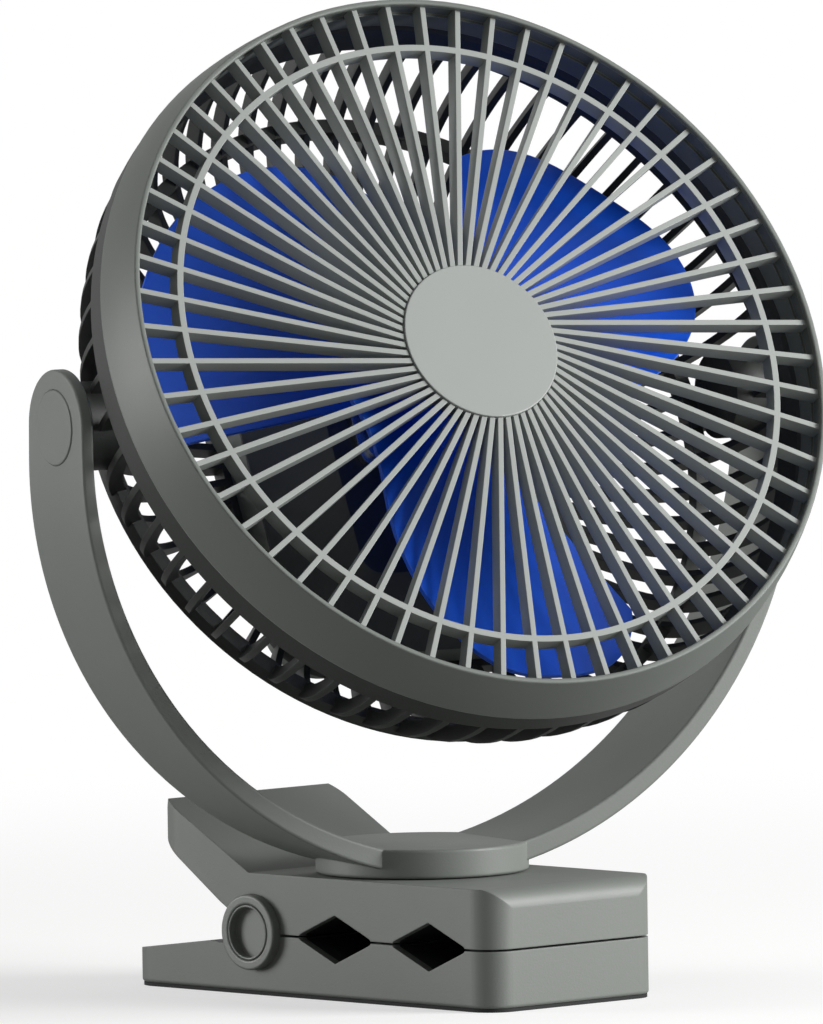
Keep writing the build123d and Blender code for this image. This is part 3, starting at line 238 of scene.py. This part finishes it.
def moulded_plastic(name, colour, shade, rubbed_and_highlit, roughness, grain_mm, relief, edge_mm):
    """Moulded plastic: drifting tone, matt grain, slightly round edges, paled for wear and a painted
    highlight.
    """
    flow_mm, handling_mm = 45, 18
    grain_height = grain_mm / 1000 * 0.12
    roughness_swing = 0.08
    material, tree, place = start_finish(name)
    flow = add_node(
        tree, "ShaderNodeTexNoise", Vector=place, Scale=1000 / flow_mm, Detail=3, Roughness=0.55
    )
    drift = add_node(
        tree,
        "ShaderNodeMix",
        data_type="RGBA",
        _0=flow.outputs["Fac"],
        _6=linear(shade),
        _7=linear(colour),
    )
    rounded, edge = edge_wear_and_highlight(tree, edge_mm, most=0.55)
    # edges take the paler tone: wear and a painted highlight line
    tone = add_node(
        tree, "ShaderNodeMix", data_type="RGBA", _0=edge, _6=drift.outputs[2], _7=linear(rubbed_and_highlit)
    )
    grain = add_node(tree, "ShaderNodeTexNoise", Vector=place, Scale=1000 / grain_mm, Detail=2)
    handling = add_node(tree, "ShaderNodeTexNoise", Vector=place, Scale=1000 / handling_mm, Detail=2)
    sheen = add_node(
        tree, "ShaderNodeMath", operation="ADD", _0=grain.outputs["Fac"], _1=handling.outputs["Fac"]
    )
    gloss = add_node(
        tree,
        "ShaderNodeMapRange",
        Value=sheen.outputs[0],
        From_Max=2.0,
        To_Min=roughness - roughness_swing,
        To_Max=roughness + roughness_swing,
    )
    bumped = add_node(
        tree,
        "ShaderNodeBump",
        Height=grain.outputs["Fac"],
        Strength=relief,
        Distance=grain_height,
        Normal=rounded,
    )
    shader = add_node(
        tree,
        "ShaderNodeBsdfPrincipled",
        Base_Color=tone.outputs[2],
        Roughness=gloss.outputs[0],
        IOR=1.53,
        Normal=bumped.outputs[0],
    )
    add_node(tree, "ShaderNodeOutputMaterial", Surface=shader.outputs[0])
    return material


def coat(material, *names):
    """Give one material to whole CAD nodes."""
    for name in names:
        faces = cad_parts[name].data
        faces.materials.clear()
        faces.materials.append(material)


shell_abs = moulded_plastic(
    "spark_eroded_abs_grey_green",
    "#7e827d",
    "#777b76",
    "#9da19c",
    roughness=0.5,
    grain_mm=0.5,
    relief=0.5,
    edge_mm=0.5,
)
coat(shell_abs, "lower_jaw")

# ---- Jaw inserts and base plate: ABS blocks that fill the jaws' hollows and line the bar notches, and
# a plate of the same that closes the lower jaw from below, all in charcoal as painted shade for the
# dark insides of the notches. The grain is the jaws'. With the jaws closed, only the insides of the
# notches show.
# charcoal here is painted shade for the notches' dark insides
shade_charcoal_abs = moulded_plastic(
    "moulded_abs_charcoal_painted_shade",
    "#242626",
    "#1d1f1f",
    "#343636",
    roughness=0.5,
    grain_mm=0.5,
    relief=0.4,
    edge_mm=0.3,
)
coat(shade_charcoal_abs, "lower_jaw_insert", "upper_jaw_insert", "base_plate")


# ---- Foot sheet: a thin sheet of nitrile rubber, die-cut and glued under the whole lower jaw, where
# it keeps the clip from sliding and shows as a dark line. It is matt and pitted, with paler dust in
# patches, and its cut edges are paler too, for dust and a painted highlight line.
def nitrile_rubber(name, colour, dust_and_highlight):
    """Matt rubber with a fine pitted surface, pale dust in patches, and edges paled for dust and a
    painted highlight.
    """
    pit_mm, dust_mm = 0.5, 12
    pit_depth = pit_mm / 1000 * 0.15
    material, tree, place = start_finish(name)
    pits = add_node(tree, "ShaderNodeTexVoronoi", Vector=place, Scale=1000 / pit_mm)
    dusting = add_node(tree, "ShaderNodeTexNoise", Vector=place, Scale=1000 / dust_mm, Detail=4)
    patches = add_node(
        tree,
        "ShaderNodeMapRange",
        Value=dusting.outputs["Fac"],
        From_Min=0.45,
        From_Max=0.9,
        To_Max=0.5,
    )
    rounded, edge = edge_wear_and_highlight(tree, edge_mm=0.2, most=0.6)
    # dust patches, and pale edges that are dust and a painted highlight
    dusty_and_highlit = add_node(tree, "ShaderNodeMath", operation="MAXIMUM", _0=patches.outputs[0], _1=edge)
    tone = add_node(
        tree,
        "ShaderNodeMix",
        data_type="RGBA",
        _0=dusty_and_highlit.outputs[0],
        _6=linear(colour),
        _7=linear(dust_and_highlight),
    )
    matt = add_node(
        tree, "ShaderNodeMapRange", Value=dusting.outputs["Fac"], To_Min=0.7, To_Max=0.86
    )
    bumped = add_node(
        tree,
        "ShaderNodeBump",
        Height=pits.outputs["Distance"],
        Strength=0.4,
        Distance=pit_depth,
        Normal=rounded,
    )
    shader = add_node(
        tree,
        "ShaderNodeBsdfPrincipled",
        Base_Color=tone.outputs[2],
        Roughness=matt.outputs[0],
        IOR=1.52,
        Normal=bumped.outputs[0],
    )
    add_node(tree, "ShaderNodeOutputMaterial", Surface=shader.outputs[0])
    return material


black_rubber = nitrile_rubber("nitrile_rubber_black", "#191a1a", "#3a3b3a")
coat(black_rubber, "foot_pad")

# ---- Bite strips: two strips of the same rubber glued into seats in each jaw's block, one at the
# mouth and one between the notches. Fine ribs run across each strip, so that the clip doesn't creep
# along a rail.
rib_pitch = 0.0025
rib_depth = 0.0004


def ribbed_strips(node, body, bites_up):
    """Put ribbed strips in the place of a node's two, with the ribs on the side that bites."""
    low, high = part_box(node)
    seat, bite = (low.z, high.z) if bites_up else (high.z, low.z)
    groove = bite - rib_depth if bites_up else bite + rib_depth
    edges = sorted({round(vertex.co.y, 6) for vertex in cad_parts[node].data.vertices})
    columns = 2 * round((high.x - low.x) / rib_pitch)
    strips = bmesh.new()
    for front, rear in (edges[:2], edges[2:4]):
        top = bmesh.ops.create_grid(strips, x_segments=columns, y_segments=1, size=0.5)
        for vertex in top["verts"]:
            along, across = vertex.co.x + 0.5, vertex.co.y + 0.5
            level = groove if round(along * columns) % 2 else bite
            vertex.co = (low.x + along * (high.x - low.x), front + across * (rear - front), level)
    extruded = bmesh.ops.extrude_face_region(strips, geom=strips.faces[:])["geom"]
    for vertex in (item for item in extruded if isinstance(item, bmesh.types.BMVert)):
        vertex.co.z = seat
    bmesh.ops.recalc_face_normals(strips, faces=strips.faces)
    data = bpy.data.meshes.new(node + "_ribbed")
    strips.to_mesh(data)
    strips.free()
    data.materials.append(black_rubber)
    piece = bpy.data.objects.new(node + "_ribbed", data)
    bpy.context.scene.collection.objects.link(piece)
    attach(piece, body)
    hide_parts(node)


ribbed_strips("lower_jaw_pads", "lower_clip", bites_up=True)
ribbed_strips("upper_jaw_pads", "upper_clip", bites_up=False)

# ---- Hinge pin and collars: the jaws' ABS from a smoother mould. The pin goes through both jaws,
# and its dished ends show inside the round collars on the clip's sides.
hinge_abs = moulded_plastic(
    "satin_abs_hinge_grey",
    "#80847f",
    "#787c77",
    "#9fa39e",
    roughness=0.38,
    grain_mm=0.35,
    relief=0.25,
    edge_mm=0.3,
)
coat(hinge_abs, "hinge_pin", "hinge_collars")


# ---- Jaw spring: drawn spring-steel wire, wound round the hinge pin, with a leg against each lever.
# The lower leg stays with the lower jaw, the upper goes with the upper jaw, and the coils turn in
# between. A copy of the node stands for it, and the node itself is hidden.
def worked_metal(name, colour, stain, bright, roughness, mark_mm):
    """Metal with fine working marks, a faint uneven film, and bright edges for wear and a painted
    highlight.
    """
    film_mm = 6
    mark_depth = mark_mm / 1000 * 0.1
    roughness_swing = 0.1
    material, tree, place = start_finish(name)
    film = add_node(tree, "ShaderNodeTexNoise", Vector=place, Scale=1000 / film_mm, Detail=4)
    filmed = add_node(
        tree,
        "ShaderNodeMix",
        data_type="RGBA",
        _0=film.outputs["Fac"],
        _6=linear(stain),
        _7=linear(colour),
    )
    rounded, edge = edge_wear_and_highlight(tree, edge_mm=0.15, most=0.7)
    # bright edges: wear and a painted highlight line
    tone = add_node(
        tree, "ShaderNodeMix", data_type="RGBA", _0=edge, _6=filmed.outputs[2], _7=linear(bright)
    )
    marks = add_node(tree, "ShaderNodeTexNoise", Vector=place, Scale=1000 / mark_mm, Detail=2)
    gloss = add_node(
        tree,
        "ShaderNodeMapRange",
        Value=marks.outputs["Fac"],
        To_Min=roughness - roughness_swing,
        To_Max=roughness + roughness_swing,
    )
    bumped = add_node(
        tree,
        "ShaderNodeBump",
        Height=marks.outputs["Fac"],
        Strength=0.3,
        Distance=mark_depth,
        Normal=rounded,
    )
    shader = add_node(
        tree,
        "ShaderNodeBsdfPrincipled",
        Base_Color=tone.outputs[2],
        Metallic=1.0,
        Roughness=gloss.outputs[0],
        Normal=bumped.outputs[0],
    )
    add_node(tree, "ShaderNodeOutputMaterial", Surface=shader.outputs[0])
    return material


spring_wire = worked_metal(
    "drawn_spring_steel_wire", "#9a9894", "#7c7a77", "#b4b2ae", roughness=0.32, mark_mm=0.25
)
coat(spring_wire, "torsion_spring")

jaw_spring = bpy.data.objects.new("jaw_spring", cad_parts["torsion_spring"].data.copy())
bpy.context.scene.collection.objects.link(jaw_spring)
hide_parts("torsion_spring")
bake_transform(jaw_spring)

# ---- Upper jaw: the clip's upper half with the raised squeeze lever, one moulding of the lower jaw's
# ABS. Its two knuckles turn on the hinge pin.
coat(shell_abs, "upper_jaw")

# ---- Swivel hardware: a sprung washer of the spring's steel presses the turntable down on the jaw.
# A plain washer and a screw, both zinc-plated steel, hold the yoke's spigot from inside the jaw.
zinc_plate = worked_metal(
    "zinc_plated_steel", "#c3c7cc", "#a9adb2", "#dadde0", roughness=0.3, mark_mm=0.3
)
coat(spring_wire, "swivel_spring_washer")
coat(zinc_plate, "swivel_washer", "swivel_screw")

# ---- Yoke and its caps: the turntable and both arms are one moulding of the jaws' ABS. A round cap
# of the same plastic at the end of each arm covers the head of the pivot pin.
coat(shell_abs, "yoke", "pivot_caps")

# ---- Front grille and hub cap: ABS from a finer, satin mould, coloured lighter than the jaws' as
# painted light for their lit front faces. The grille sits in a groove of the band, and a stem holds
# the plain cap in the disc in its middle.
# the lighter grey is painted light on the grille's front faces
light_painted_grille_abs = moulded_plastic(
    "satin_abs_grey_painted_light",
    "#9b9f9c",
    "#949995",
    "#b6bbb7",
    roughness=0.42,
    grain_mm=0.4,
    relief=0.25,
    edge_mm=0.25,
)
coat(light_painted_grille_abs, "front_grille", "hub_cap")

# ---- Band: the ring round the head, one moulding of ABS with a fine grain, coloured a darker grey-green
# than the jaws' as painted shade for the shadowed band and its dark inner wall. Its edges are paled
# the most of all, a painted highlight line along its rims with a little wear.
shade_painted_band_abs = moulded_plastic(
    "fine_grain_abs_grey_green_painted_shade",
    "#6c716c",
    "#646964",
    # the darker tones are painted shade; the palest is a painted rim highlight
    "#b4b9b4",
    roughness=0.46,
    grain_mm=0.4,
    relief=0.3,
    edge_mm=0.6,
)
coat(shade_painted_band_abs, "front_bezel")

# ---- Rear shell: the front ring, the straight ribs, the shoulder ring and the pivot bosses are one
# moulding of ABS, coloured a grey-green far darker than the band's as painted shade for the shadowed
# inside and underside of the head. Its grain is the jaws'.
shade_painted_rib_abs = moulded_plastic(
    "ribbed_shell_abs_painted_shade",
    # this dark grey-green is painted shade
    "#313431",
    "#2b2e2b",
    "#4a4e4a",
    roughness=0.48,
    grain_mm=0.5,
    relief=0.4,
    edge_mm=0.4,
)
coat(shade_painted_rib_abs, "rear_grille")

# ---- Pivots: zinc-plated steel pins through the yoke's arms, fixed in the head. A bush of machined
# acetal, left in its natural off-white, sits between either arm and the head, and its friction
# holds the tilt.
natural_acetal = moulded_plastic(
    "machined_natural_acetal",
    "#dcdad2",
    "#d2d0c7",
    "#e8e6df",
    roughness=0.35,
    grain_mm=0.3,
    relief=0.15,
    edge_mm=0.2,
)
coat(zinc_plate, "pivot_pins")
coat(natural_acetal, "pivot_bushes")

# ---- Battery box: a charcoal ABS housing behind the blades, with a coarser grain than the shells',
# closed at the back by a cover in the jaws' ABS and four zinc-plated screws.
housing_abs = moulded_plastic(
    "coarse_grain_abs_charcoal",
    "#3e4243",
    "#363a3b",
    "#5e6364",
    roughness=0.5,
    grain_mm=0.6,
    relief=0.5,
    edge_mm=0.5,
)
coat(housing_abs, "battery_housing")
coat(shell_abs, "battery_cover")
coat(zinc_plate, "cover_screws")

# ---- Cells: four round cells side by side in the box, each in a sleeve of green PVC shrunk on with
# hot air, which leaves it glossy and a little wrinkled. The ends' edges are paler, for stretching and
# a painted highlight line.
wrinkle_mm = 4
wrinkle_height = 0.0002
sleeve, tree, place = start_finish("heat_shrunk_pvc_sleeve_green")
wrinkle = add_node(
    tree, "ShaderNodeTexNoise", Vector=place, Scale=1000 / wrinkle_mm, Detail=3, Distortion=0.6
)
tone = add_node(
    tree,
    "ShaderNodeMix",
    data_type="RGBA",
    _0=wrinkle.outputs["Fac"],
    _6=linear("#1e6a55"),
    _7=linear("#2b8069"),
)
rounded, edge = edge_wear_and_highlight(tree, edge_mm=0.4, most=0.5)
# paler edges: stretched sleeve and a painted highlight line
stretched_and_highlit = add_node(
    tree, "ShaderNodeMix", data_type="RGBA", _0=edge, _6=tone.outputs[2], _7=linear("#4aa088")
)
gloss = add_node(tree, "ShaderNodeMapRange", Value=wrinkle.outputs["Fac"], To_Min=0.18, To_Max=0.32)
bumped = add_node(
    tree,
    "ShaderNodeBump",
    Height=wrinkle.outputs["Fac"],
    Strength=0.2,
    Distance=wrinkle_height,
    Normal=rounded,
)
shader = add_node(
    tree,
    "ShaderNodeBsdfPrincipled",
    Base_Color=stretched_and_highlit.outputs[2],
    Roughness=gloss.outputs[0],
    IOR=1.53,
    Normal=bumped.outputs[0],
)
add_node(tree, "ShaderNodeOutputMaterial", Surface=shader.outputs[0])
coat(sleeve, "battery_cells")

# ---- Control board: a glass-fibre board just inside the cover. Green solder mask covers its copper
# tracks, which stand up a little and show paler, and its routed edges show the bare board; that pale
# edge tone is also a painted highlight line.
track_spacing_mm = 6
track_height = 0.00003
board, tree, place = start_finish("solder_masked_circuit_board")
tracks = add_node(
    tree,
    "ShaderNodeTexVoronoi",
    feature="DISTANCE_TO_EDGE",
    Vector=place,
    Scale=1000 / track_spacing_mm,
)
bare = add_node(
    tree, "ShaderNodeMapRange", Value=tracks.outputs["Distance"], From_Min=0.1, From_Max=0.14
)
tone = add_node(
    tree,
    "ShaderNodeMix",
    data_type="RGBA",
    _0=bare.outputs[0],
    _6=linear("#1f6b3c"),
    _7=linear("#124a28"),
)
rounded, edge = edge_wear_and_highlight(tree, edge_mm=0.2, most=0.8)
# pale edges: bare board and a painted highlight line
routed_and_highlit = add_node(
    tree, "ShaderNodeMix", data_type="RGBA", _0=edge, _6=tone.outputs[2], _7=linear("#b9ad7c")
)
gloss = add_node(tree, "ShaderNodeMapRange", Value=bare.outputs[0], To_Min=0.18, To_Max=0.28)
bumped = add_node(
    tree,
    "ShaderNodeBump",
    Height=bare.outputs[0],
    Strength=0.5,
    Distance=track_height,
    invert=True,
    Normal=rounded,
)
shader = add_node(
    tree,
    "ShaderNodeBsdfPrincipled",
    Base_Color=routed_and_highlit.outputs[2],
    Roughness=gloss.outputs[0],
    IOR=1.55,
    Normal=bumped.outputs[0],
)
add_node(tree, "ShaderNodeOutputMaterial", Surface=shader.outputs[0])
coat(board, "control_board")

# ---- Button, charge lights and socket: a button of the grille's ABS in the cover, four windows of
# frosted acrylic, milky, with rims paled white for rubbing and a painted highlight, and a socket of
# zinc-plated steel.
frost_mm = 0.4
frost_height = 0.00003
acrylic, tree, place = start_finish("frosted_acrylic_clear")
frost = add_node(tree, "ShaderNodeTexNoise", Vector=place, Scale=1000 / frost_mm, Detail=2)
tone = add_node(
    tree,
    "ShaderNodeMix",
    data_type="RGBA",
    _0=frost.outputs["Fac"],
    _6=linear("#d8dad6"),
    _7=linear("#eceeea"),
)
rounded, edge = edge_wear_and_highlight(tree, edge_mm=0.1, most=0.5)
# white rims: rubbing and a painted highlight line
rubbed_and_highlit = add_node(
    tree, "ShaderNodeMix", data_type="RGBA", _0=edge, _6=tone.outputs[2], _7=linear("#f6f7f5")
)
gloss = add_node(tree, "ShaderNodeMapRange", Value=frost.outputs["Fac"], To_Min=0.35, To_Max=0.55)
bumped = add_node(
    tree,
    "ShaderNodeBump",
    Height=frost.outputs["Fac"],
    Strength=0.2,
    Distance=frost_height,
    Normal=rounded,
)
shader = add_node(
    tree,
    "ShaderNodeBsdfPrincipled",
    Base_Color=rubbed_and_highlit.outputs[2],
    Roughness=gloss.outputs[0],
    IOR=1.49,
    Transmission_Weight=0.35,
    Normal=bumped.outputs[0],
)
add_node(tree, "ShaderNodeOutputMaterial", Surface=shader.outputs[0])
coat(acrylic, "charge_lights")
coat(light_painted_grille_abs, "power_button")
coat(zinc_plate, "charge_socket")

# ---- Motor: a can of deep-drawn steel on a plate that is screwed to the housing. The plate, the
# screws and the shaft are zinc-plated steel, as the clip's screw is.
can_steel = worked_metal(
    "deep_drawn_motor_steel", "#b4b6b8", "#96989b", "#cfd1d3", roughness=0.36, mark_mm=0.4
)
coat(can_steel, "motor_can")
coat(zinc_plate, "motor_plate", "motor_screws", "motor_shaft")

# ---- Fan wheel: three blades and their hub, one moulding of glossy royal-blue polypropylene, with a
# turned brass bush that grips the shaft. The plastic lets a little light in, which softens its
# shading, and its edges are paler, for blushing and a painted highlight line.
turned_brass = worked_metal(
    "turned_brass", "#cfa659", "#b48a45", "#e6c585", roughness=0.26, mark_mm=0.3
)
coat(turned_brass, "shaft_bush")

wheel_flow_mm, skin_mm = 30, 0.8
skin_height = 0.00005
polypropylene, tree, place = start_finish("glossy_polypropylene_blue")
flow = add_node(
    tree, "ShaderNodeTexNoise", Vector=place, Scale=1000 / wheel_flow_mm, Detail=3, Distortion=0.8
)
tone = add_node(
    tree,
    "ShaderNodeMix",
    data_type="RGBA",
    _0=flow.outputs["Fac"],
    _6=linear("#1260ff"),
    _7=linear("#1a6eff"),
)
skin = add_node(tree, "ShaderNodeTexNoise", Vector=place, Scale=1000 / skin_mm, Detail=2)
gloss = add_node(tree, "ShaderNodeMapRange", Value=skin.outputs["Fac"], To_Min=0.28, To_Max=0.4)
rounded, edge = edge_wear_and_highlight(tree, edge_mm=0.5, most=0.45)
# paler edges: blushing and a painted highlight line
blushed_and_highlit = add_node(
    tree, "ShaderNodeMix", data_type="RGBA", _0=edge, _6=tone.outputs[2], _7=linear("#5a90ff")
)
bumped = add_node(
    tree,
    "ShaderNodeBump",
    Height=skin.outputs["Fac"],
    Strength=0.15,
    Distance=skin_height,
    Normal=rounded,
)
shader = add_node(
    tree,
    "ShaderNodeBsdfPrincipled",
    Base_Color=blushed_and_highlit.outputs[2],
    Roughness=gloss.outputs[0],
    IOR=1.49,
    Subsurface_Weight=0.12,
    Subsurface_Radius=(0.2, 0.35, 1.0),
    Subsurface_Scale=0.002,
    Normal=bumped.outputs[0],
)
add_node(tree, "ShaderNodeOutputMaterial", Surface=shader.outputs[0])
coat(polypropylene, "fan_wheel")
